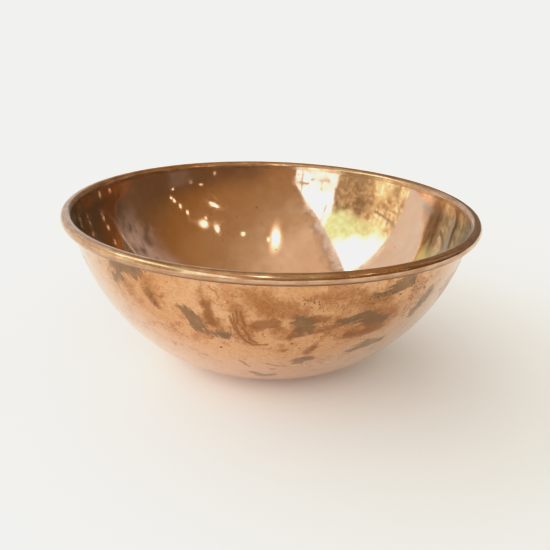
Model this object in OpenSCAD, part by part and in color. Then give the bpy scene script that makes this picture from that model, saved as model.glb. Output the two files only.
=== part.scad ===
/* [Bowl] */
// Overall diameter across the rolled rim
rim_d = 300; // [290:1:320]
// Overall height, from the base to the top of the rolled rim
height = 116; // [104:1:122]
// Diameter of the flat base
base_d = 48; // [40:1:56]
// How far the sphere of the wall would reach below the flat base
base_drop = 8; // [6:0.5:10]
// Thickness of the copper sheet
sheet_t = 1.2; // [0.8:0.1:1.6]

/* [Rolled rim] */
// Diameter of the rolled bead, over the copper
bead_d = 8; // [6:0.5:10]
// Gap between the rolled edge and the outside of the wall
seam_gap = 0.1; // [0.05:0.05:0.3]
// Gap all round between the wire and the copper
wire_clearance = 0.05; // [0.02:0.01:0.1]

/* [Hidden] */
$fn = 240;

base_r = base_d / 2;
bead_r = bead_d / 2;
// The bead bites this far into the inner face of the wall, so that the two join
bead_lap = 0.002;
// Radius of the space that the bead encloses
bore_r = bead_r - sheet_t;
wire_r = bore_r - wire_clearance;
bead_centre = [rim_d / 2 - bead_r, height - bead_r];

// The wall is part of a sphere on the bowl's axis, and it runs up tangent to the bead
bead_rise = bead_centre.y + base_drop;
wire_offset = bore_r - bead_lap;
wall_r = (bead_rise ^ 2 + bead_centre.x ^ 2 - wire_offset ^ 2) / (2 * (bead_rise + wire_offset));
wall_centre = [0, wall_r - base_drop];

// A tighter arc joins the wall to the flat base, tangent to both
radius_step = (base_drop ^ 2 + base_r ^ 2) / (2 * base_drop);
corner_r = wall_r - radius_step;
corner_centre = [base_r, corner_r];
corner_direction = (corner_centre - wall_centre) / radius_step;
corner_end = wall_centre + 2 * wall_r * corner_direction;

// Half of the bowl as one filled outline, set in from the outer face
module filled_bowl(inset) {
    translate([0, inset]) square([base_r, corner_r - inset]);
    translate(corner_centre) circle(corner_r - inset);
    intersection() {
        translate(wall_centre) circle(wall_r - inset);
        polygon([wall_centre, corner_end, [2 * wall_r, wall_centre.y]]);
    }
}

// Everything under the line from the wall's centre through the bead's centre
module below_bead_line() {
    line_end = 2 * bead_centre - wall_centre;
    polygon([wall_centre, line_end, [line_end.x, -base_drop], [0, -base_drop]]);
}

// The rolled edge, open along a seam next to the wall
module bead_roll() {
    difference() {
        translate(bead_centre) circle(bead_r);
        intersection() {
            translate(wall_centre) circle(wall_r + seam_gap);
            below_bead_line();
        }
    }
}

// One sheet of copper: flat base, corner, wall and the edge rolled over the wire
module bowl_shell() {
    color("#c88258")
        rotate_extrude()
            difference() {
                union() {
                    intersection() {
                        filled_bowl(0);
                        below_bead_line();
                    }
                    bead_roll();
                }
                filled_bowl(sheet_t);
                translate(bead_centre) circle(bore_r);
            }
}

// Closed ring of round steel wire inside the rolled edge
module rim_wire() {
    color("#77787a")
        rotate_extrude()
            translate(bead_centre) circle(wire_r);
}

bowl_shell();
rim_wire();
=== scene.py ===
"""Looks of a polished copper mixing bowl with a rolled, wired rim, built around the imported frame.

Lengths are in metres and in the frame of the CAD model: +Z is up and the origin is under the base.
An azimuth on the bowl is 0 at the front, which is -Y, and grows towards +X. Stains are placed by
azimuth and height on the wall. The lamps and the painted parts of the room are placed by direction.
"""

import math
import random

import bpy
import numpy as np
from mathutils import Matrix, Vector, noise


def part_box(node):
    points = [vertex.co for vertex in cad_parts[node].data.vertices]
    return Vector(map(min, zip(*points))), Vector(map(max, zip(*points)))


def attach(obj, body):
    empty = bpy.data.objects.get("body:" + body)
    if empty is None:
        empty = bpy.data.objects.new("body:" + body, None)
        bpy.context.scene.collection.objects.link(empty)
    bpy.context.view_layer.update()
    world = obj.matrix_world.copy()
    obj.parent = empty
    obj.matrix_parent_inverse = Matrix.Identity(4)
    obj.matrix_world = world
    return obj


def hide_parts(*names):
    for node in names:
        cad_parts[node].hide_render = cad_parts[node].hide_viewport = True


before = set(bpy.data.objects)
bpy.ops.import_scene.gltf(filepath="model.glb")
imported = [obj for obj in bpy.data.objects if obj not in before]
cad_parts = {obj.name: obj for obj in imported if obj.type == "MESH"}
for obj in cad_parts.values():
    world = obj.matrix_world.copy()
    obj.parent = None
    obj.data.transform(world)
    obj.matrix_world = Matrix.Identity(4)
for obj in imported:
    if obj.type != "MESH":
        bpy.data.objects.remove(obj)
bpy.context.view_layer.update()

MM = 0.001
TINY = 1e-9

# ---------------------------------------------------------------- sizes of the bowl
shell_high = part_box("bowl_shell")[1]
wire_low, wire_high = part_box("rim_wire")

HEIGHT = shell_high.z
BEAD_HEIGHT = (wire_high.z + wire_low.z) / 2
BEAD_RADIUS = HEIGHT - BEAD_HEIGHT
BEAD_OFFSET = shell_high.x - BEAD_RADIUS
BEAD_CENTRE = Vector((BEAD_OFFSET, BEAD_HEIGHT))

# These repeat the CAD model's own sizes, which its boxes don't give
SHEET = 1.2 * MM
BASE_RADIUS = 24 * MM
BASE_DROP = 8 * MM
SEAM_GAP = 0.1 * MM
BORE_RADIUS = BEAD_RADIUS - SHEET

# The wall is part of a sphere, and a tighter arc joins it to the flat base
BEAD_RISE = BEAD_HEIGHT + BASE_DROP
WALL_RADIUS = (BEAD_RISE**2 + BEAD_OFFSET**2 - BORE_RADIUS**2) / (2 * (BEAD_RISE + BORE_RADIUS))
WALL_CENTRE = Vector((0, WALL_RADIUS - BASE_DROP))
RADIUS_STEP = (BASE_DROP**2 + BASE_RADIUS**2) / (2 * BASE_DROP)
CORNER_RADIUS = WALL_RADIUS - RADIUS_STEP
CORNER_CENTRE = Vector((BASE_RADIUS, CORNER_RADIUS))

# Angles in the plane of radius and height, from straight out
TO_BEAD = BEAD_CENTRE - WALL_CENTRE
TO_CORNER = CORNER_CENTRE - WALL_CENTRE
BEAD_LINE = math.atan2(TO_BEAD.y, TO_BEAD.x)
WALL_FOOT = math.atan2(TO_CORNER.y, TO_CORNER.x)


# ---------------------------------------------------------------- shape of the shell
SEGMENTS = 360
WALL_STEPS = 52
CORNER_STEPS = 33
BASE_STEPS = 5
BEAD_STEPS = 44
BORE_STEPS = 22
LIP_STEPS = 3
SHARP_ANGLE = math.radians(40)

# The wall's waves ease in over this span of radii beyond the base, and out over this span of heights
WAVES_START = (1.1 * BASE_RADIUS, 2.4 * BASE_RADIUS)
WAVES_END = (BEAD_HEIGHT - 4 * BEAD_RADIUS, BEAD_HEIGHT - BEAD_RADIUS)

# Slow bends, faint marks of the planishing hammer and fine unevenness: the size and height of each in
# millimetres, and where its noise is read
WAVES = [
    (70, 0.30, (0, 0, 0)),
    (19, 0.055, (7, 3, 1)),
    (8, 0.010, (2, 9, 5)),
]


class Row:
    """One ring of the shell: its place in the plane of radius and height, and how the waves move it.

    weight is the share of the waves that it takes, along outward, and they are read at middle, half way
    through the sheet, so that both faces move alike. side says which material the ring has.
    """

    def __init__(self, place, side, outward=(0, 0), weight=0.0, middle=None):
        self.place = Vector(place)
        self.side = side
        self.outward = Vector(outward)
        self.weight = weight
        self.middle = Vector(middle or place)


def smooth(value, low, high):
    """0 below low, 1 above high and an even ease between them."""
    t = min(max((value - low) / (high - low), 0), 1)
    return t * t * (3 - 2 * t)


def steps(start, end, count):
    """Evenly spaced values from start up to and including end."""
    return [start + (end - start) * i / count for i in range(count + 1)]


def arc_rows(centre, radius, middle_radius, start, end, count, side):
    """Rings along one face of the wall. The waves fade out towards the base and the bead."""
    rows = []
    for angle in steps(start, end, count):
        outward = Vector((math.cos(angle), math.sin(angle)))
        middle = centre + middle_radius * outward
        from_base = smooth(middle.x, *WAVES_START)
        from_bead = 1 - smooth(middle.y, *WAVES_END)
        rows.append(Row(centre + radius * outward, side, outward, from_base * from_bead, middle))
    return rows


def face_rows(inset, side):
    """One face of the sheet, from the middle of the base up to the bead."""
    wall, corner = WALL_RADIUS - inset, CORNER_RADIUS - inset
    wall_middle, corner_middle = WALL_RADIUS - SHEET / 2, CORNER_RADIUS - SHEET / 2
    up_corner = arc_rows(CORNER_CENTRE, corner, corner_middle, -math.pi / 2, WALL_FOOT, CORNER_STEPS, side)
    up_wall = arc_rows(WALL_CENTRE, wall, wall_middle, WALL_FOOT, BEAD_LINE, WALL_STEPS, side)
    flat = [Row((r, inset), side) for r in steps(0, BASE_RADIUS, BASE_STEPS)]
    return flat + up_corner[1:] + up_wall[1:]


def seam_angle(radius):
    """How far round a circle in the bead the roll stops short of the wall, seen from the bead's centre."""
    reach, edge = TO_BEAD.length, WALL_RADIUS + SEAM_GAP
    return math.acos((reach**2 + radius**2 - edge**2) / (2 * reach * radius))


def circle_rows(radius, start, end, count, side):
    """Rings round the bead."""
    return [
        Row(BEAD_CENTRE + radius * Vector((math.cos(a), math.sin(a))), side)
        for a in steps(start, end, count)
    ]


def shell_rows():
    """The sheet's whole outline: up the inside, over the bead, round its bore and down the outside."""
    to_wall = BEAD_LINE + math.pi
    turn = 2 * math.pi
    inside = face_rows(SHEET, "inside")
    roll = circle_rows(BEAD_RADIUS, to_wall, to_wall - turn + seam_angle(BEAD_RADIUS), BEAD_STEPS, "bead")
    bore = circle_rows(BORE_RADIUS, to_wall - turn + seam_angle(BORE_RADIUS), to_wall, BORE_STEPS, "bore")
    edge_start, edge_end = roll[-1].place, bore[0].place
    edge = [Row(edge_start.lerp(edge_end, i / LIP_STEPS), "bore") for i in range(1, LIP_STEPS)]
    outside = face_rows(0, "outside")
    return inside[:-1] + roll + edge + bore[:-1] + outside[::-1]


def wave(place):
    """How far the sheet stands out of true at a point."""
    out_of_true = 0.0
    for size, height, start in WAVES:
        out_of_true += noise.noise(place / (size * MM) + Vector(start)) * height * MM
    return out_of_true


def around(radius, azimuth, height):
    """A point at that radius and height, with azimuth in radians."""
    return Vector((radius * math.sin(azimuth), -radius * math.cos(azimuth), height))


def lathe(name, rows, materials):
    """A closed mesh through the rings, which start and end on the axis, with a material for each side.

    Its attribute "along" is the length of the outline up to each point.
    """
    vertices, rings, faces, slots, lengths = [], [], [], [], []
    slot_of = {side: i for i, side in enumerate(materials)}
    travelled, previous = 0.0, rows[0].place
    for row in rows:
        travelled += (row.place - previous).length
        previous = row.place
        first = len(vertices)
        if row.place.x < TINY:
            vertices.append((0, 0, row.place.y))
            rings.append([first] * SEGMENTS)
            lengths.append(travelled)
            continue
        for i in range(SEGMENTS):
            azimuth = 2 * math.pi * i / SEGMENTS
            shift = 0.0
            if row.weight > 0:
                shift = wave(around(row.middle.x, azimuth, row.middle.y)) * row.weight
            place = row.place + row.outward * shift
            vertices.append(around(place.x, azimuth, place.y))
            lengths.append(travelled)
        rings.append(list(range(first, first + SEGMENTS)))
    for lower, upper, row in zip(rings, rings[1:], rows[1:]):
        for i in range(SEGMENTS):
            j = (i + 1) % SEGMENTS
            corners = [lower[i], lower[j], upper[j], upper[i]]
            faces.append(list(dict.fromkeys(corners)))
            slots.append(slot_of[row.side])
    mesh = bpy.data.meshes.new(name)
    mesh.from_pydata(vertices, [], faces)
    mesh.attributes.new("along", "FLOAT", "POINT").data.foreach_set("value", lengths)
    mesh.polygons.foreach_set("material_index", slots)
    for material in materials.values():
        mesh.materials.append(material)
    mesh.validate()
    mesh.shade_smooth()
    mesh.set_sharp_from_angle(angle=SHARP_ANGLE)
    piece = bpy.data.objects.new(name, mesh)
    bpy.context.scene.collection.objects.link(piece)
    return piece


# ---------------------------------------------------------------- nodes
class Nodes:
    """Builds a node tree. Each call adds a node or a few, and returns the main output."""

    def __init__(self, tree):
        self.tree = tree

    def put(self, socket, value):
        if isinstance(value, bpy.types.NodeSocket):
            self.tree.links.new(value, socket)
        elif isinstance(value, (tuple, list)) and len(value) == 3 and socket.type == "RGBA":
            socket.default_value = (*value, 1)
        else:
            socket.default_value = value

    def add(self, kind, inputs=(), **settings):
        """Adds a node of that kind and returns the node itself."""
        node = self.tree.nodes.new("ShaderNode" + kind)
        for name, value in settings.items():
            setattr(node, name, value)
        for key, value in dict(inputs).items():
            self.put(node.inputs[key], value)
        return node

    def math(self, operation, a, b=0.0, clamp=False):
        return self.add("Math", {0: a, 1: b}, operation=operation, use_clamp=clamp).outputs[0]

    def chain(self, operation, first, *others):
        for other in others:
            first = self.math(operation, first, other)
        return first

    def plus(self, *values):
        return self.chain("ADD", *values)

    def times(self, *values):
        return self.chain("MULTIPLY", *values)

    def largest(self, *values):
        return self.chain("MAXIMUM", *values)

    def centred(self, texture):
        """A texture that varies about 0.5, moved to vary about 0."""
        return self.math("SUBTRACT", texture, 0.5)

    def ragged(self, value, texture, reach):
        """The value, moved up and down by a texture within a band of width reach."""
        return self.plus(value, self.times(self.centred(texture), reach))

    def step(self, value, low, high, bottom=0.0, top=1.0):
        """Eases from bottom to top while value goes from low to high."""
        inputs = {"Value": value, "From Min": low, "From Max": high, "To Min": bottom, "To Max": top}
        return self.add("MapRange", inputs, interpolation_type="SMOOTHSTEP").outputs[0]

    def near(self, value, middle, edge, core, top=1.0):
        """A line: top where value is within core of the middle, easing to 0 at edge from it."""
        gap = self.math("ABSOLUTE", self.math("SUBTRACT", value, middle))
        return self.step(gap, edge, core, 0, top)

    def vector(self, operation, a, b=(0.0, 0.0, 0.0), output=0):
        """Vector maths. Output 1 is the number that a length, distance or dot product gives."""
        return self.add("VectorMath", {0: a, 1: b}, operation=operation).outputs[output]

    def scaled(self, a, factor):
        return self.add("VectorMath", {0: a, 3: factor}, operation="SCALE").outputs[0]

    def axes(self, vector):
        """The three parts of a vector."""
        return self.add("SeparateXYZ", {0: vector}).outputs[:3]

    def heading(self, vector):
        """The level direction of a vector, of length 1."""
        return self.vector("NORMALIZE", self.vector("MULTIPLY", vector, (1, 1, 0)))

    def mix(self, share, a, b, blend="MIX"):
        return self.add("Mix", {0: share, 6: a, 7: b}, data_type="RGBA", blend_type=blend).outputs[2]

    def blend(self, share, a, b):
        return self.add("Mix", {0: share, 2: a, 3: b}, data_type="FLOAT").outputs[0]


class Shader(Nodes):
    """A material under construction."""

    def __init__(self, name):
        self.material = bpy.data.materials.new(name)
        self.material.use_nodes = True
        super().__init__(self.material.node_tree)
        self.tree.nodes.clear()
        self.output = self.tree.nodes.new("ShaderNodeOutputMaterial")

    def place(self):
        return self.add("TexCoord").outputs["Object"]

    def attribute(self, name):
        return self.add("Attribute", attribute_name=name).outputs["Fac"]

    def facing(self):
        """From 0 where the surface faces the view to 1 where it is seen edge on."""
        return self.add("LayerWeight", {"Blend": 0.5}).outputs["Facing"]

    def noise(self, size, detail, roughness, vector=None, warp=0.0, output=0):
        """Cloudy noise whose largest features measure about size, in metres. Output 1 is a colour."""
        inputs = {"Vector": vector or self.place(), "Scale": 1 / size, "Detail": detail}
        inputs.update({"Roughness": roughness, "Distortion": warp})
        return self.add("TexNoise", inputs).outputs[output]

    def cells(self, size):
        """Distance to the nearest of many scattered points, about size apart."""
        return self.add("TexVoronoi", {"Vector": self.place(), "Scale": 1 / size}).outputs["Distance"]

    def ramp(self, value, stops):
        node = self.add("ValToRGB", {0: value})
        elements = node.color_ramp.elements
        while len(elements) < len(stops):
            elements.new(1.0)
        for element, (position, colour) in zip(elements, stops):
            element.position = position
            element.color = (*colour, 1)
        return node.outputs[0]

    def bump(self, height, distance):
        return self.add("Bump", {"Height": height, "Distance": distance, "Strength": 1.0}).outputs[0]

    def finish(self, node):
        self.tree.links.new(node.outputs[0], self.output.inputs["Surface"])
        return self.material

    def surface(self, **inputs):
        """Finishes the material with a Principled surface and returns the material."""
        named = {name.replace("_", " "): value for name, value in inputs.items()}
        return self.finish(self.add("BsdfPrincipled", named))

    def glow(self, colour, strength=1.0, behind=None):
        """Finishes the material as a glow, over the shader behind it if one is given, and returns it.

        The glow isn't sampled as a lamp, so it only shows where a ray happens to meet it.
        """
        node = self.add("Emission", {"Color": colour, "Strength": strength})
        if behind is not None:
            node = self.add("AddShader", {0: behind.outputs[0], 1: node.outputs[0]})
        self.material.cycles.emission_sampling = "NONE"
        return self.finish(node)


# ---------------------------------------------------------------- stains on the outside
def wall_point(azimuth, height):
    """A point on the outside of the wall, with azimuth in degrees and height in millimetres."""
    height = height * MM
    if height >= WALL_CENTRE.y + WALL_RADIUS * math.sin(WALL_FOOT):
        radius = math.sqrt(WALL_RADIUS**2 - (height - WALL_CENTRE.y) ** 2)
    else:
        radius = CORNER_CENTRE.x + math.sqrt(CORNER_RADIUS**2 - (height - CORNER_CENTRE.y) ** 2)
    return around(radius, math.radians(azimuth), height)


# Each stain runs from one point on the wall to another: azimuth and height at both ends, then its half
# width at both ends. Azimuths are in degrees, and heights and widths in millimetres. The cloth rubbed the
# first list's stains down to the right, and the next list's round the bowl.
GREY_RUBBED_DOWN = [
    ((-44, 103), (-36, 103), 2.4, 4.2),
    ((-45, 94), (-41, 95), 1.8, 1.0),
    ((-22, 82), (-19, 72), 3.4, 4.2),
    ((-17, 68), (-11, 67), 1.0, 2.0),
]
GREY_RUBBED_ROUND = [
    ((8, 81), (9, 71), 3.6, 2.4),
    ((10, 81), (11, 73), 3.0, 2.0),
    ((19, 79), (27, 80), 0.6, 4.2),
    ((27, 80), (34, 76), 4.2, 0.8),
    ((27, 50), (32, 54), 1.8, 3.6),
    ((32, 54), (38, 55), 3.6, 1.0),
    ((28, 96), (34, 98), 1.2, 2.2),
    ((34, 99), (38, 102), 3.6, 4.2),
    ((45, 73), (49, 86), 2.4, 4.0),
    ((10, 44), (13, 46), 3.2, 2.4),
    ((-5, 28), (-2, 24), 1.2, 1.8),
    ((-2, 24), (3, 26), 1.8, 1.2),
]
BROWN = [
    ((-33, 90), (-31, 81), 2.0, 1.2),
    ((-3, 77), (2, 79), 3.2, 2.8),
    ((11, 82), (15, 82), 2.6, 2.0),
    ((27, 75), (33, 73), 2.4, 1.8),
    ((23, 66), (33, 69), 2.2, 2.6),
    ((12, 53), (14, 58), 1.0, 1.4),
    ((14, 72), (21, 78), 1.2, 1.0),
    ((6, 67), (8, 73), 1.0, 1.6),
    ((-16, 90), (-15, 76), 1.6, 2.0),
]
CLOUDS = [
    ((-33, 99), (-31, 82), 4.0, 2.0),
    ((-40, 91), (-37, 79), 4.0, 2.0),
    ((-17, 96), (-15, 78), 2.0, 3.2),
    ((-15, 78), (-12, 69), 3.2, 2.4),
    ((-8, 88), (-5, 64), 4.0, 4.0),
    ((-5, 100), (1, 91), 6.0, 9.0),
    ((1, 91), (10, 87), 9.0, 4.0),
    ((2, 73), (14, 73), 4.0, 3.0),
    ((19, 81), (22, 93), 3.0, 4.0),
    ((22, 93), (32, 91), 5.0, 6.0),
    ((27, 84), (35, 80), 7.0, 6.0),
    ((24, 70), (35, 71), 5.0, 3.5),
    ((12, 98), (23, 98), 2.0, 3.0),
]

# Thin strokes, each a line through a few points
STROKES = [
    [(-9, 85), (-9, 78), (-8, 70), (-6, 63), (-4, 60), (0, 61)],
    [(-8, 87), (-8, 78), (-6, 72), (-5, 65), (-3, 62)],
    [(-7, 87), (-6, 76)],
    [(-10, 83), (-9, 73), (-7, 66)],
    [(-9, 43), (-6, 36)],
    [(0, 41), (4, 38)],
]
STROKE_HALF_WIDTH = 0.5

# Patches with many specks, given as the stains are, and single pits with their half widths
SPECKLED = [
    ((9, 95), (15, 91), 3.0, 3.0),
    ((23, 91), (34, 98), 2.0, 3.0),
    ((43, 74), (47, 81), 4.0, 4.0),
    ((38, 99), (45, 95), 2.0, 3.0),
    ((-33, 88), (-30, 80), 3.0, 2.0),
]
PITS = [
    (-14, 55, 0.9),
    (-60, 86, 0.7),
    (-26, 101, 0.5),
    (36, 93, 0.8),
    (45, 93, 0.9),
    (42, 91, 0.6),
    (17, 70, 0.7),
    (7, 62, 0.8),
    (39, 97, 0.6),
    (41, 99, 0.5),
    (33, 95, 0.6),
]

# The part of the wall that the photograph doesn't show
UNSEEN_AZIMUTHS = (64, 298)
UNSEEN_HEIGHTS = (24, 98)


def other_side(seed, count, widest, longest):
    """Stains of the same kinds on the sides and back, placed by chance."""
    chance = random.Random(seed)
    stains = []
    for _ in range(count):
        azimuth, height = chance.uniform(*UNSEEN_AZIMUTHS), chance.uniform(*UNSEEN_HEIGHTS)
        end = azimuth + chance.uniform(-longest, longest), height + chance.uniform(-longest, longest) / 2
        first, last = chance.uniform(0.4, 1) * widest, chance.uniform(0.3, 1) * widest
        stains.append(((azimuth, height), end, first, last))
    return stains


STAINS = {
    "grey_down": GREY_RUBBED_DOWN,
    "grey_round": GREY_RUBBED_ROUND + other_side(seed=8, count=16, widest=4, longest=9),
    "brown": BROWN + other_side(seed=5, count=16, widest=3.4, longest=9),
    "cloud": CLOUDS + other_side(seed=3, count=22, widest=9, longest=14),
    "speckled": SPECKLED + other_side(seed=13, count=10, widest=4, longest=7),
}


def write_stains(piece):
    """Keeps, at each point of the mesh, its distance to each kind of stain's nearest edge, below 0 inside."""
    points = np.array([vertex.co for vertex in piece.data.vertices])
    for kind, stains in STAINS.items():
        nearest = np.full(len(points), 1.0)
        for start, end, first, last in stains:
            a, b = np.array(wall_point(*start)), np.array(wall_point(*end))
            share = np.clip((points - a) @ (b - a) / ((b - a) @ (b - a)), 0, 1)
            gap = np.linalg.norm(points - a - share[:, None] * (b - a), axis=1)
            nearest = np.minimum(nearest, gap - (first + (last - first) * share) * MM)
        piece.data.attributes.new(kind, "FLOAT", "POINT").data.foreach_set("value", nearest)


def capsule_group():
    """A node group for one thin mark: how far a point lies outside a capsule between two points."""
    group = bpy.data.node_groups.new("mark_distance", "ShaderNodeTree")
    kinds = {"Point": "Vector", "Start": "Vector", "Span": "Vector", "Share": "Float", "Radius": "Float"}
    for name, kind in kinds.items():
        group.interface.new_socket(name, in_out="INPUT", socket_type="NodeSocket" + kind)
    group.interface.new_socket("Distance", in_out="OUTPUT", socket_type="NodeSocketFloat")
    given = group.nodes.new("NodeGroupInput").outputs
    result = group.nodes.new("NodeGroupOutput")

    g = Nodes(group)
    offset = g.vector("SUBTRACT", given["Point"], given["Start"])
    along = g.vector("DOT_PRODUCT", offset, given["Span"], output=1)
    share = g.math("MULTIPLY", along, given["Share"], clamp=True)
    distance = g.vector("DISTANCE", offset, g.scaled(given["Span"], share), output=1)
    g.put(result.inputs["Distance"], g.math("SUBTRACT", distance, given["Radius"]))
    return group


MARK_DISTANCE = capsule_group()


def mark_distance(shader, point, marks):
    """Distance from the point to the nearest edge of these thin marks, each two ends and a half width."""
    distances = []
    for start, end, half_width in marks:
        a, b = wall_point(*start), wall_point(*end)
        span = b - a
        node = shader.add("Group", node_tree=MARK_DISTANCE)
        share = 1 / max(span.length_squared, TINY)
        values = {"Point": point, "Start": a, "Span": span, "Share": share, "Radius": half_width * MM}
        for name, value in values.items():
            shader.put(node.inputs[name], value)
        distances.append(node.outputs[0])
    return shader.chain("MINIMUM", *distances)


# ---------------------------------------------------------------- materials
COPPER_CLEAN = (0.80, 0.52, 0.36)
COPPER_WORN = (0.73, 0.44, 0.28)
COPPER_PALE = (0.81, 0.485, 0.262)
COPPER = (0.71, 0.378, 0.174)
COPPER_DEEP = (0.55, 0.24, 0.095)
COPPER_BURNT = (0.40, 0.16, 0.052)
COPPER_BASE = (0.92, 0.54, 0.26)
# The next two are painted sheen, where copper is seen at a low angle. The first is also the milky haze
# inside.
PALE_SHEEN_AND_MILK = (0.80, 0.655, 0.53)
GLANCING_SHEEN_INSIDE = (0.75, 0.66, 0.57)
SIDE_TINT = (0.62, 0.71, 0.82)
TARNISH_GREY = (0.235, 0.142, 0.076)
TARNISH_BROWN = (0.31, 0.125, 0.045)
# Painted shade in the crevice where the bead meets the wall
CREVICE_SHADE = (0.14, 0.065, 0.035)
PIT = (0.10, 0.045, 0.03)
BEAD_BRIGHT = (0.68, 0.44, 0.275)
BEAD_DULL = (0.50, 0.28, 0.15)
BEAD_BROWN = (0.34, 0.175, 0.09)
SCALE_RED = (0.30, 0.13, 0.07)
SCALE_DARK = (0.16, 0.08, 0.05)
STEEL = (0.42, 0.42, 0.43)
RUST = (0.19, 0.09, 0.05)

# Heights on the outside between which a change eases in
DEEPER_ABOVE = (30 * MM, 68 * MM)
PALE_BASE_BELOW = (34 * MM, 8 * MM)
GLANCING_SHEEN_ABOVE = (8 * MM, 45 * MM)

# Size of the marks that rubbing leaves: along the rub and across it
RUB_LENGTH = 9 * MM
RUB_WIDTH = 0.9 * MM
RUBBED_DOWN = -52
RUBBED_LEVEL = 12

# The cooler tint inside eases in with distance to the left or right of the middle, and downwards from near
# the rim
SIDE_TINT_BEYOND = (119.5 * MM, 123.5 * MM)
SIDE_TINT_RAGGED = 4 * MM
SIDE_TINT_BELOW = (107 * MM, 101 * MM)


def circling(shader, across, turns):
    """Coordinates that stretch a texture round the bowl, as polishing does.

    across is the texture's width in metres, and a larger turns gives more features on the way round.
    """
    direction = shader.heading(shader.place())
    row = shader.math("DIVIDE", shader.attribute("along"), across)
    up = shader.add("CombineXYZ", {2: row}).outputs[0]
    return shader.vector("ADD", shader.scaled(direction, turns), up)


def rubbed(shader, slope):
    """Coordinates that stretch a texture across the bowl's front, at slope degrees from level."""
    inputs = {"Vector": shader.place(), "Angle": math.radians(slope)}
    turned = shader.add("VectorRotate", inputs, rotation_type="Y_AXIS").outputs[0]
    return shader.vector("MULTIPLY", turned, (1 / RUB_LENGTH, 1 / RUB_LENGTH, 1 / RUB_WIDTH))


def painted_glancing_sheen(shader, colour, share, start=0.46, edge=PALE_SHEEN_AND_MILK):
    """Painted sheen: copper takes on the colour of the light where it is seen at a low angle."""
    return shader.mix(shader.step(shader.facing(), start, 0.90, 0, share), colour, edge)


def tarnish(s, height, patches, mottle, grain):
    """The colour of thin even tarnish, from pale to deep, and lighter towards the base."""
    clouds = s.noise(70 * MM, 4, 0.55)
    smears = s.noise(16 * MM, 6, 0.68, warp=1.6)
    wiped = s.noise(1.0, 4, 0.65, vector=circling(s, 1.7 * MM, 7.0))
    upper = s.step(height, *DEEPER_ABOVE, 0.35, 1.0)
    colour = s.mix(s.step(s.ragged(clouds, wiped, 0.14), 0.38, 0.66), COPPER_PALE, COPPER)
    deeper = s.step(s.ragged(patches, wiped, 0.12), 0.50, 0.62, 0, 0.62)
    colour = s.mix(s.times(deeper, upper), colour, COPPER_DEEP)
    colour = s.mix(s.times(s.step(smears, 0.53, 0.66, 0, 0.50), upper), colour, COPPER_BURNT)
    colour = s.mix(s.step(mottle, 0.52, 0.36, 0, 0.6), colour, COPPER_PALE)
    return s.mix(s.step(grain, 0.38, 0.70, 0, 0.34), colour, COPPER_BURNT)


def wide_stains(s, blotch, mottle, grain):
    """How much of each point the clouds, the brown stains and the grey stains cover, with ragged edges."""
    down = s.noise(1.0, 3, 0.6, vector=rubbed(s, RUBBED_DOWN))
    level = s.noise(1.0, 3, 0.6, vector=rubbed(s, RUBBED_LEVEL))
    cloud = s.ragged(s.attribute("cloud"), blotch, 20 * MM)
    cloud_share = s.times(s.step(cloud, 4.5 * MM, -4.0 * MM), s.step(grain, 0.25, 0.7, 0.65, 1.0))
    brown = s.ragged(s.ragged(s.attribute("brown"), blotch, 7 * MM), level, 6 * MM)
    brown_share = s.step(brown, 3.0 * MM, -0.6 * MM, 0, 0.78)
    grey_round = s.ragged(s.attribute("grey_round"), level, 15 * MM)
    grey_down = s.ragged(s.attribute("grey_down"), down, 15 * MM)
    grey = s.ragged(s.math("MINIMUM", grey_round, grey_down), blotch, 6 * MM)
    grey_share = s.times(s.step(grey, 2.0 * MM, 0.4 * MM), s.step(mottle, 0.25, 0.65, 1.0, 0.72))
    return cloud_share, brown_share, grey_share


def thin_marks(s, place, blotch, grain):
    """How much of each point the strokes cover, and the specks and pits, with edges that wander a little."""
    wander = s.vector("SUBTRACT", s.noise(4 * MM, 3, 0.6, output=1), (0.5, 0.5, 0.5))
    moved = s.vector("ADD", place, s.scaled(wander, 2.6 * MM))
    strokes = [(a, b, STROKE_HALF_WIDTH) for line in STROKES for a, b in zip(line, line[1:])]
    stroke = s.ragged(mark_distance(s, moved, strokes), grain, 1.0 * MM)
    stroke_share = s.step(stroke, 0.9 * MM, -0.4 * MM, 0, 0.85)
    speckled = s.step(s.ragged(s.attribute("speckled"), blotch, 10 * MM), 2.5 * MM, -1.5 * MM)
    specks = s.times(s.step(s.cells(2.6 * MM), 0.30, 0.18, 0, 0.85), speckled)
    stray_specks = s.step(s.cells(13 * MM), 0.055, 0.03, 0, 0.75)
    pit = mark_distance(s, moved, [((a, h), (a, h), r) for a, h, r in PITS])
    pit_share = s.largest(specks, stray_specks, s.step(pit, 0.3 * MM, -0.3 * MM, 0, 0.9))
    return stroke_share, pit_share


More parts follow.
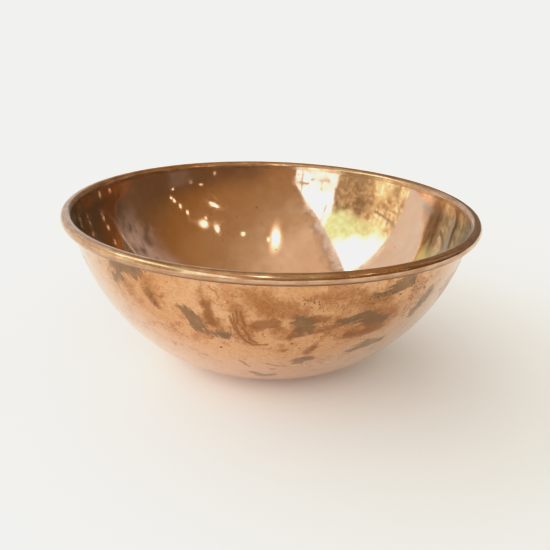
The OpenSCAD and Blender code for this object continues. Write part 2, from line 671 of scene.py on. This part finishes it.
def outside_copper():
    """Worn polish with tarnish that the cloth left behind, wiped streaks, pits and hairline scratches."""
    s = Shader("copper_outside")
    place = s.place()
    height = s.axes(place)[2]
    patches = s.noise(21 * MM, 5, 0.62, warp=0.7)
    blotch = s.noise(9 * MM, 5, 0.7, warp=0.5)
    mottle = s.noise(7 * MM, 5, 0.65)
    grain = s.noise(1.8 * MM, 4, 0.7)
    cloud_share, brown_share, grey_share = wide_stains(s, blotch, mottle, grain)
    stroke_share, pit_share = thin_marks(s, place, blotch, grain)
    thread = s.noise(8 * MM, 1.5, 0.5, warp=0.8)
    scribble_share = s.times(s.near(thread, 0.5, 0.024, 0.008, 0.75), s.step(patches, 0.49, 0.55))

    # The painted glancing sheen lies partly under the stains and partly over them
    colour = tarnish(s, height, patches, mottle, grain)
    colour = s.mix(s.step(height, *PALE_BASE_BELOW, 0, 0.8), colour, COPPER_BASE)
    colour = painted_glancing_sheen(s, colour, s.step(height, *GLANCING_SHEEN_ABOVE, 0.15, 0.7))
    layers = [
        (scribble_share, COPPER_BURNT),
        (s.times(cloud_share, 0.85), COPPER_BURNT),
        (brown_share, TARNISH_BROWN),
        (stroke_share, TARNISH_BROWN),
        (grey_share, TARNISH_GREY),
        (pit_share, PIT),
    ]
    for share, stain in layers:
        colour = s.mix(share, colour, stain)
    colour = painted_glancing_sheen(s, colour, s.step(height, *GLANCING_SHEEN_ABOVE, 0.15, 0.3))

    # Painted shade in the crevice under the rolled edge
    seam = s.ragged(height, mottle, 1.0 * MM)
    seam_shade_share = s.step(seam, BEAD_HEIGHT - 3.6 * MM, BEAD_HEIGHT - 2.0 * MM, 0, 0.9)
    colour = s.mix(seam_shade_share, colour, CREVICE_SHADE)

    scratches = s.noise(1.0, 3, 0.6, vector=circling(s, 0.8 * MM, 9.0))
    dull = s.largest(brown_share, s.times(cloud_share, 0.5), grey_share)
    rough = s.plus(s.step(mottle, 0.3, 0.8, 0.15, 0.27), s.step(scratches, 0.45, 0.75, 0, 0.08))
    rough = s.blend(dull, rough, 0.36)
    normal = s.bump(scratches, 0.015 * MM)
    return s.surface(Base_Color=colour, Metallic=1.0, Roughness=rough, Normal=normal)


def inside_copper():
    """Bright polish with hairlines, hazy smudges and dark specks, a painted sheen where it is seen at a low
    angle, and a cooler tint at the left and right.
    """
    s = Shader("copper_inside")
    clouds = s.noise(45 * MM, 4, 0.6)
    milk = s.noise(30 * MM, 5, 0.65, warp=1.5)
    smudge = s.noise(26 * MM, 4, 0.6, warp=1.2)
    mottle = s.noise(11 * MM, 5, 0.65)
    hairlines = s.noise(1.0, 3, 0.6, vector=circling(s, 0.7 * MM, 7.0))
    colour = s.mix(s.step(clouds, 0.35, 0.68), COPPER_CLEAN, COPPER_WORN)
    colour = s.mix(s.step(mottle, 0.55, 0.80, 0, 0.40), colour, COPPER_PALE)
    colour = s.mix(s.step(hairlines, 0.58, 0.80, 0, 0.20), colour, COPPER)
    colour = s.mix(s.step(milk, 0.54, 0.74, 0, 0.28), colour, PALE_SHEEN_AND_MILK)
    large_specks = s.step(s.cells(24 * MM), 0.04, 0.02, 0, 0.7)
    small_specks = s.step(s.cells(9 * MM), 0.075, 0.04, 0, 0.6)
    colour = s.mix(s.largest(large_specks, small_specks), colour, PIT)
    # Painted sheen where the inside is seen at a low angle
    colour = painted_glancing_sheen(s, colour, 1.0, 0.20, GLANCING_SHEEN_INSIDE)

    x, _, height = s.axes(s.place())
    # A cooler, less orange colour at the left and right, lower down
    sideways = s.ragged(s.math("ABSOLUTE", x), mottle, SIDE_TINT_RAGGED)
    side_tint = s.times(s.step(sideways, *SIDE_TINT_BEYOND), s.step(height, *SIDE_TINT_BELOW, 0.15, 1.0))
    colour = s.mix(side_tint, colour, SIDE_TINT, "MULTIPLY")

    rough = s.plus(s.step(smudge, 0.46, 0.74, 0.05, 0.17), s.step(hairlines, 0.5, 0.75, 0, 0.03))
    rough = s.blend(s.step(s.facing(), 0.72, 0.93), rough, 0.22)
    normal = s.bump(hairlines, 0.006 * MM)
    return s.surface(Base_Color=colour, Metallic=1.0, Roughness=rough, Normal=normal)


def bead_copper():
    """The rolled edge: mottled copper with brown streaks, and painted shade on its underside where it meets
    the wall.
    """
    s = Shader("copper_bead")
    mottle = s.noise(12 * MM, 5, 0.65)
    streaks = s.noise(1.0, 4, 0.65, vector=circling(s, 1.1 * MM, 9.0))
    hairlines = s.noise(1.0, 3, 0.6, vector=circling(s, 0.5 * MM, 8.0))
    colour = s.mix(s.step(mottle, 0.36, 0.70), BEAD_BRIGHT, BEAD_DULL)
    colour = s.mix(s.step(streaks, 0.46, 0.70, 0, 0.75), colour, BEAD_BROWN)
    # Painted sheen where the bead is seen at a low angle
    colour = painted_glancing_sheen(s, colour, 0.2)
    height = s.ragged(s.axes(s.place())[2], mottle, 1.6 * MM)
    # Painted shade, darkening the bead's underside down to where it meets the wall
    underside_shade = s.step(height, BEAD_HEIGHT - 1.2 * MM, BEAD_HEIGHT - 3.2 * MM, 0, 0.88)
    colour = s.mix(underside_shade, colour, CREVICE_SHADE)
    rough = s.plus(s.step(mottle, 0.35, 0.75, 0.12, 0.24), s.times(underside_shade, 0.2))
    normal = s.bump(hairlines, 0.014 * MM)
    return s.surface(Base_Color=colour, Metallic=1.0, Roughness=rough, Normal=normal)


def dull_copper():
    """Unpolished sheet inside the roll, which only shows through the seam."""
    s = Shader("copper_unpolished")
    scale = s.noise(4 * MM, 5, 0.7)
    colour = s.mix(scale, SCALE_RED, SCALE_DARK)
    return s.surface(Base_Color=colour, Metallic=0.7, Roughness=s.step(scale, 0.3, 0.7, 0.4, 0.65))


def wire_steel():
    """Drawn steel wire with a little rust."""
    s = Shader("drawn_steel")
    rust = s.step(s.noise(6 * MM, 5, 0.7), 0.5, 0.68)
    colour = s.mix(rust, STEEL, RUST)
    normal = s.bump(s.noise(0.8 * MM, 4, 0.7), 0.03 * MM)
    rough = s.blend(rust, 0.34, 0.8)
    return s.surface(Base_Color=colour, Metallic=s.blend(rust, 1.0, 0.2), Roughness=rough, Normal=normal)


# ---------------------------------------------------------------- pieces
bowl_shell = lathe(
    "bowl_shell_polished",
    shell_rows(),
    {"inside": inside_copper(), "bead": bead_copper(), "bore": dull_copper(), "outside": outside_copper()},
)
write_stains(bowl_shell)
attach(bowl_shell, "root")
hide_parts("bowl_shell")

rim_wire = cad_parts["rim_wire"]
rim_wire.data.materials.clear()
rim_wire.data.materials.append(wire_steel())


# ---------------------------------------------------------------- studio
# The room that the copper reflects. Distances are in metres.
ROOM_REACH = 2.5
WINDOW_TOP = 1.28 * ROOM_REACH
WINDOW_START = -3.7 * ROOM_REACH
WINDOW_END = 0.12 * ROOM_REACH
PANEL_END = 0.84 * ROOM_REACH
DOME_RADIUS = 13.5
BACKDROP_RADIUS = 14
FLOOR_REACH = 9.0

FLOOR_TONES = (0.755, 0.755, 0.75), (0.745, 0.745, 0.74)
PANEL_TONES = (0.94, 0.94, 0.88), (0.83, 0.83, 0.79)

# The ceiling's colours, from far away from its brightest place up to that place, which is given as azimuth
# and elevation
CEILING = [
    (0.0, (0.15, 0.095, 0.055)),
    (0.22, (0.205, 0.124, 0.052)),
    (0.40, (0.32, 0.180, 0.066)),
    (0.62, (0.41, 0.260, 0.120)),
    (0.78, (0.47, 0.345, 0.205)),
    (0.90, (0.62, 0.50, 0.34)),
    (0.97, (0.84, 0.74, 0.59)),
]
CEILING_BRIGHTEST = (48, 64)
DARK_WALL = (0.15, 0.105, 0.065)
LOW_STRIP = (0.235, 0.185, 0.155)
BEAM = (0.27, 0.165, 0.085)
WINDOW_BLUR = (0.80, 0.84, 0.90)
HAZE_THIN = (0.17, 0.135, 0.115)
HAZE_THICK = (0.47, 0.41, 0.40)
DOOR_EDGE = (0.75, 0.68, 0.62)
DOOR_AZIMUTH = -121
BACK_WALL = (0.70, 0.70, 0.70)

# Beyond the window: leaves from their shade to their sunlit side, paler ones at the top, and the sky
LEAVES = [
    (0.30, (0.33, 0.27, 0.16)),
    (0.42, (0.58, 0.48, 0.30)),
    (0.50, (0.86, 0.76, 0.49)),
    (0.59, (1.27, 1.26, 0.86)),
    (0.70, (2.1, 2.15, 1.7)),
]
PALE_LEAVES = (0.92, 1.20, 0.66), (1.25, 1.80, 1.30)
SKY = (2.7, 2.9, 3.1)
WINDOW_BAR = (0.42, 0.37, 0.33)
TWIG = (0.45, 0.41, 0.42)

# The window's posts and bars: what each one's place is measured by, its place, where its length starts and
# ends by the other measure, its half width and how dark it is. "across" is Y over the room's reach, and
# "rise" is the sine of the elevation.
BARS = [
    ("across", -1.24, 0.45, 0.76, 0.05, 0.85),
    ("across", -2.85, 0.12, 0.40, 0.10, 0.9),
    ("across", -1.55, 0.20, 0.34, 0.05, 0.85),
    ("across", -1.02, 0.25, 0.40, 0.06, 0.7),
    ("rise", 0.375, -0.27, 0.13, 0.014, 0.85),
    ("rise", 0.235, -2.1, -1.25, 0.014, 0.9),
    ("rise", 0.29, -3.6, -2.2, 0.020, 0.85),
]
BAR_FADE = 0.03

# Each lamp's azimuth and elevation, the width and height of its core, all in degrees, then its strength and
# its tilt in degrees
LAMPS = [
    (5, 55.5, 3.8, 10.5, 9.0, 0),
    (-3, 57, 1.6, 2.4, 3.0, 0),
    (-27, 52, 1.9, 2.2, 4.0, 0),
    (-48, 45, 2.0, 4.4, 5.0, 12),
    (-56.5, 40, 3.6, 3.2, 6.0, 20),
    (-53, 37.5, 1.4, 1.2, 3.0, 0),
    (-43, 32, 1.2, 7, 7.0, -55),
    (-65, 31, 1.2, 1.8, 5.0, 0),
    (-69, 26.5, 1.2, 1.8, 5.0, 0),
    (-72, 23, 1.2, 1.6, 5.0, 0),
    (-73.5, 21, 1.2, 1.4, 5.0, 0),
    (-49, 17.5, 2.4, 0.9, 2.6, 30),
    (-56, 14, 2.2, 0.8, 1.6, 20),
    (-39, 13, 1.2, 1.6, 2.0, 0),
    (-70, 16, 1.0, 2.2, 3.0, 30),
]
LAMP_COLOUR = (1.0, 0.90, 0.76)
LAMP_DISTANCE = 2.2
HALO_SPREAD = 3.2
HALO_SHARE = 0.09
HALO_FADE = 2.5

# The floor's light, its colours and the azimuth that it comes from
LIGHT_AZIMUTH = 75
LIGHT_STRONG = (2.83, 2.82, 2.83)
LIGHT_WEAK = (0.74, 0.67, 0.52)

CAMERA_DISTANCE = 655.4 * MM
CAMERA_ELEVATION = math.radians(15.57)
CAMERA_ROLL = math.radians(2.02)
CAMERA_AIM = Vector((3.9 * MM, 0, 0.54 * HEIGHT))
CAMERA_LENS = 58.9
SENSOR_WIDTH = 36

TONE_POINTS = ((0.25, 0.25), (0.5, 0.5), (0.72, 0.72), (0.86, 0.83))
PAPER_WHITE = 0.88


def stage_mesh(name, vertices, material):
    """A flat face of the studio, which isn't part of the object."""
    mesh = bpy.data.meshes.new(name)
    mesh.from_pydata(vertices, [], [list(range(len(vertices)))])
    mesh.materials.append(material)
    piece = bpy.data.objects.new(name, mesh)
    bpy.context.scene.collection.objects.link(piece)
    return piece


def stage_sphere(name, radius, material):
    """A sphere of the studio, seen from inside."""
    bpy.ops.mesh.primitive_uv_sphere_add(segments=64, ring_count=32, radius=radius)
    piece = bpy.context.object
    piece.name = name
    piece.data.materials.append(material)
    return piece


def only_reflected(piece):
    """The piece shows in the copper's reflections, and neither lights the floor nor blocks light or view."""
    piece.visible_camera = False
    piece.visible_diffuse = False
    piece.visible_shadow = False


def wall_panel(name, start, end, material):
    """Part of the room's left wall, from one Y to another and up to the window's top."""
    x = -ROOM_REACH
    corners = [(x, start, 0), (x, end, 0), (x, end, WINDOW_TOP), (x, start, WINDOW_TOP)]
    only_reflected(stage_mesh(name, corners, material))


def sky_direction(azimuth, elevation):
    """A direction in the room, in degrees: azimuth 0 is behind the camera and grows towards -X."""
    a, e = math.radians(azimuth), math.radians(elevation)
    return Vector((-math.sin(a) * math.cos(e), -math.cos(a) * math.cos(e), math.sin(e)))


def likeness(nodes, direction, azimuth, elevation):
    """1 where the direction is that one, and 0 at right angles to it."""
    return nodes.vector("DOT_PRODUCT", direction, tuple(sky_direction(azimuth, elevation)), output=1)


def floor():
    """Plain pale floor, wide enough to fill every view."""
    s = Shader("pale_floor")
    tone = s.mix(s.noise(0.4, 3, 0.5), *FLOOR_TONES)
    material = s.surface(Base_Color=tone, Roughness=1.0, Specular_IOR_Level=0.0)
    corners = [(x * FLOOR_REACH, y * FLOOR_REACH, 0) for x, y in ((-1, -1), (1, -1), (1, 1), (-1, 1))]
    stage_mesh("floor", corners, material)


def above_window(s, colour, x, z, fine):
    """Adds a beam and a pale blur, by the slope from the bowl up to the left wall."""
    slope = s.math("DIVIDE", z, s.largest(s.times(x, -1.0), 0.02))
    ragged_slope = s.plus(slope, fine)
    beam = s.times(s.step(slope, 1.20, 1.26), s.step(ragged_slope, 1.85, 1.50))
    colour = s.mix(s.times(beam, s.step(z, 0.60, 0.68, 0.2, 0.45)), colour, BEAM)
    blur = s.times(s.step(ragged_slope, 1.50, 1.34), s.step(slope, 1.0, 1.2), s.step(z, 0.36, 0.60))
    return s.mix(blur, colour, WINDOW_BLUR)


def past_door(s, colour, heading, z, soft, fine):
    """Adds a door's edge and the haze beyond it, by the sine of how far the heading is turned past it."""
    turned = likeness(s, heading, DOOR_AZIMUTH + 90, 0)
    same_side = s.step(likeness(s, heading, DOOR_AZIMUTH, 0), 0.1, 0.3)
    haze = s.times(s.step(turned, 0.0, 0.03), s.step(s.plus(turned, soft), 0.46, 0.14), same_side)
    haze = s.times(haze, s.step(z, 0.86, 0.66), s.step(z, 0.14, 0.36, 0.12, 1))
    thicker_up = s.times(s.math("SUBTRACT", z, 0.33), 0.7)
    thick = s.step(s.plus(fine, soft, thicker_up), -0.14, 0.12)
    colour = s.mix(haze, colour, s.mix(thick, HAZE_THIN, HAZE_THICK))
    edge = s.times(s.near(turned, 0.0, 0.016, 0.006), same_side, s.step(z, 0.5, 0.35))
    return s.mix(edge, colour, DOOR_EDGE)


def room_dome():
    """A dim room round the bowl, painted by direction: x and y are level and z is up.

    The tan ceiling is brightest near the window, and above the window it has a beam and a pale blur. On
    the right the room is dark low down, with a pale strip, and a haze hangs beyond a door's edge. The wall
    behind the bowl is pale on the left.
    """
    s = Shader("room")
    direction = s.vector("NORMALIZE", s.place())
    x, y, z = s.axes(direction)
    soft = s.centred(s.noise(0.35, 4, 0.6, vector=direction))
    fine = s.centred(s.noise(0.09, 4, 0.6, vector=direction))
    level = s.plus(likeness(s, direction, *CEILING_BRIGHTEST), s.times(soft, 0.22), s.times(fine, 0.06))
    colour = s.ramp(s.times(s.plus(level, 0.3), 1 / 1.3), CEILING)
    low_right = s.times(s.step(z, 0.42, 0.18, 0, 0.75), s.step(x, -0.1, 0.3))
    colour = s.mix(low_right, colour, DARK_WALL)
    strip = s.times(s.step(x, 0.78, 0.88), s.step(x, 0.95, 0.90), s.step(y, 0.1, -0.1))
    strip = s.times(strip, s.step(s.plus(z, s.times(soft, 0.1)), 0.26, 0.18))
    colour = s.mix(strip, colour, LOW_STRIP)
    colour = above_window(s, colour, x, z, fine)
    colour = past_door(s, colour, s.heading(direction), z, soft, fine)
    behind = s.times(s.step(y, 0.35, 0.6), s.step(z, 0.75, 0.45), s.step(x, 0.10, -0.10, 0.12, 1))
    colour = s.mix(behind, colour, BACK_WALL)
    only_reflected(stage_sphere("room", DOME_RADIUS, s.glow(colour)))


def window_wall():
    """A long window at the left: sky above and at its far end, leaves in the sun below, bars and twigs."""
    s = Shader("window")
    direction = s.vector("NORMALIZE", s.place())
    rise = s.axes(direction)[2]
    across = s.times(s.axes(s.place())[1], 1 / ROOM_REACH)
    broad = s.centred(s.noise(0.22, 4, 0.6, vector=direction))
    flattened = s.vector("MULTIPLY", direction, (1, 1, 1.8))
    foliage = s.noise(0.05, 6, 0.74, vector=flattened)

    lit = s.plus(foliage, s.times(broad, 0.6), s.step(across, -0.20, -0.55, 0.07, -0.11))
    colour = s.ramp(lit, LEAVES)
    pale_leaves = s.mix(s.step(foliage, 0.35, 0.7), *PALE_LEAVES)
    uneven = s.plus(rise, s.times(broad, 0.30))
    colour = s.mix(s.step(uneven, 0.44, 0.54), colour, pale_leaves)
    lower_sky = s.times(s.plus(across, 0.27), 0.35)
    colour = s.mix(s.step(s.plus(uneven, lower_sky), 0.56, 0.68), colour, SKY)
    colour = s.mix(s.step(s.plus(across, s.times(broad, 0.3)), -1.0, -1.12), colour, SKY)

    for measure, place, start, end, half_width, darkness in BARS:
        value, other = (across, rise) if measure == "across" else (rise, across)
        width = s.near(value, place, half_width, 0.6 * half_width)
        length = s.times(s.step(other, start, start + BAR_FADE), s.step(other, end + BAR_FADE, end))
        colour = s.mix(s.times(width, length, darkness), colour, WINDOW_BAR)
    twig = s.near(s.noise(0.09, 4, 0.65, vector=flattened), 0.5, 0.034, 0.014)
    twig = s.times(twig, s.step(across, -0.95, -1.15), s.step(rise, 0.40, 0.30))
    colour = s.mix(twig, colour, TWIG)
    wall_panel("window_wall", WINDOW_START, WINDOW_END, s.glow(colour))


def side_panel():
    """A pale wall beyond the window's near end."""
    s = Shader("side_panel")
    tone = s.mix(s.noise(0.5, 3, 0.5), *PANEL_TONES)
    wall_panel("side_panel", WINDOW_END, PANEL_END, s.glow(tone))


def lamp(name, azimuth, elevation, width, height, strength, tilt):
    """A bright spot in that direction, with a halo that is stronger round a wider lamp."""
    s = Shader(name)
    centred = s.vector("SUBTRACT", s.add("TexCoord").outputs["Generated"], (0.5, 0.5, 0.0))
    from_middle = s.vector("LENGTH", s.vector("MULTIPLY", centred, (2, 2, 0)), output=1)
    core = s.step(from_middle, 1 / HALO_SPREAD, 0.6 / HALO_SPREAD, 0, strength)
    halo = s.math("POWER", s.step(from_middle, 1.0, 0.0), HALO_FADE)
    glow = s.plus(core, s.times(halo, HALO_SHARE * width * strength))
    material = s.glow(LAMP_COLOUR, glow, behind=s.add("BsdfTransparent"))

    half = [LAMP_DISTANCE * math.tan(math.radians(size * HALO_SPREAD / 2)) for size in (width, height)]
    ring = [(half[0] * math.cos(a), half[1] * math.sin(a), 0) for a in steps(0, 2 * math.pi, 32)[:-1]]
    disc = stage_mesh(name, ring, material)
    towards = sky_direction(azimuth, elevation)
    facing_bowl = (-towards).to_track_quat("Z", "Y").to_matrix().to_4x4()
    turn = Matrix.Rotation(math.radians(tilt), 4, "Z")
    disc.matrix_world = Matrix.Translation(towards * LAMP_DISTANCE) @ (facing_bowl @ turn)
    only_reflected(disc)


def camera():
    """The photograph's view: slightly above the rim, with a small roll."""
    rim = Vector((0, 0, BEAD_HEIGHT))
    away = Vector((0, -math.cos(CAMERA_ELEVATION), math.sin(CAMERA_ELEVATION)))
    eye = rim + CAMERA_DISTANCE * away
    forward = (CAMERA_AIM - eye).normalized()
    level = forward.cross(Vector((0, 0, 1))).normalized()
    upright = level.cross(forward)
    right = level * math.cos(CAMERA_ROLL) + upright * math.sin(CAMERA_ROLL)
    up = right.cross(forward)
    data = bpy.data.cameras.new("camera")
    data.sensor_width = SENSOR_WIDTH
    data.lens = CAMERA_LENS
    view = bpy.data.objects.new("camera", data)
    view.matrix_world = Matrix.Translation(eye) @ Matrix((right, up, -forward)).transposed().to_4x4()
    bpy.context.scene.collection.objects.link(view)
    bpy.context.scene.camera = view


def soft_light():
    """The floor's light: broad and strongest low down at the left, weak from the right and from above."""
    world = bpy.data.worlds.new("soft_light")
    world.use_nodes = True
    w = Nodes(world.node_tree)
    direction = w.add("TexCoord").outputs["Generated"]
    height = w.axes(direction)[2]
    side = likeness(w, w.heading(direction), LIGHT_AZIMUTH, 0)
    share = w.times(w.step(side, -0.45, 0.15), w.step(height, 0.84, 0.66))
    background = w.tree.nodes["Background"].inputs
    w.put(background["Color"], w.mix(share, LIGHT_WEAK, LIGHT_STRONG))
    w.put(background["Strength"], w.step(height, 0.40, 0.06, 0.92, 2.1))
    bpy.context.scene.world = world


def backdrop():
    """A pale surround that only the camera sees, so that the floor has no dark horizon."""
    surround = stage_sphere("backdrop", BACKDROP_RADIUS, Shader("backdrop").glow((1.0, 1.0, 1.0)))
    surround.visible_diffuse = False
    surround.visible_glossy = False
    surround.visible_shadow = False


def tone():
    """A camera's response: even in the mid tones, with whites that level off just short of full white."""
    view = bpy.context.scene.view_settings
    view.view_transform = "Standard"
    view.use_curve_mapping = True
    curve = view.curve_mapping.curves[3]
    for x, y in TONE_POINTS:
        curve.points.new(x, y)
    curve.points[len(curve.points) - 1].location = (1.0, PAPER_WHITE)
    view.curve_mapping.extend = "HORIZONTAL"
    view.curve_mapping.update()


floor()
room_dome()
window_wall()
side_panel()
for number, values in enumerate(LAMPS, 1):
    lamp(f"lamp_{number}", *values)
backdrop()
soft_light()
camera()
tone()
